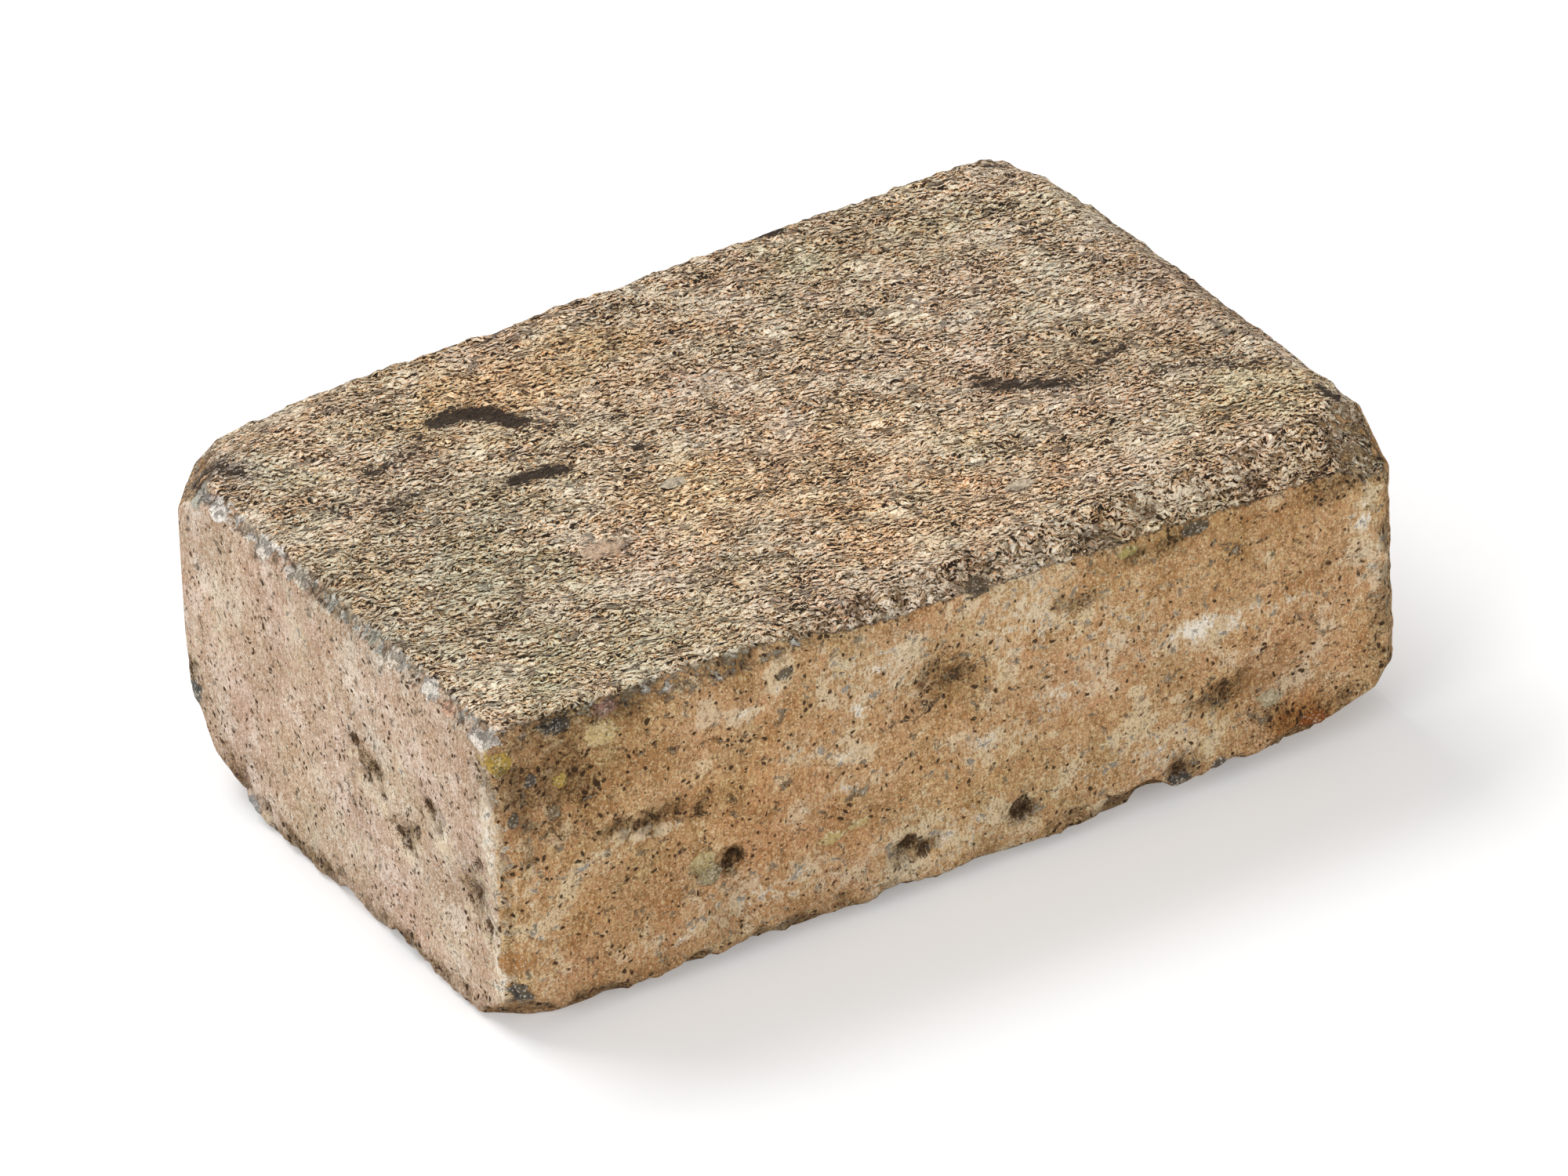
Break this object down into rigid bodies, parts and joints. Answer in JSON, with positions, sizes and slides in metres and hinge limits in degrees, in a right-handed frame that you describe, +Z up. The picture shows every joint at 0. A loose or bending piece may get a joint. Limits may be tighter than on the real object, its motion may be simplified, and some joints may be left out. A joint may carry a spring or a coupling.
{
  "type": "tumbled concrete paving block",
  "caption": "Solid rectangular concrete paving block with a rough top, rounded worn edges, knocked-off corners and small pits. Lies flat on its underside.",
  "frame": {"origin": "middle of the underside", "axes": "+X along the length, +Y across the width, +Z up through the height; the front is the long face at -Y and the left end is the short face at -X"},
  "size_m": [0.21, 0.14, 0.07],
  "materials": {
    "tumbled_concrete": "matt, worn"
  },
  "bodies": {
    "root": {"paving_block": "tumbled_concrete"}
  },
  "joints": []
}
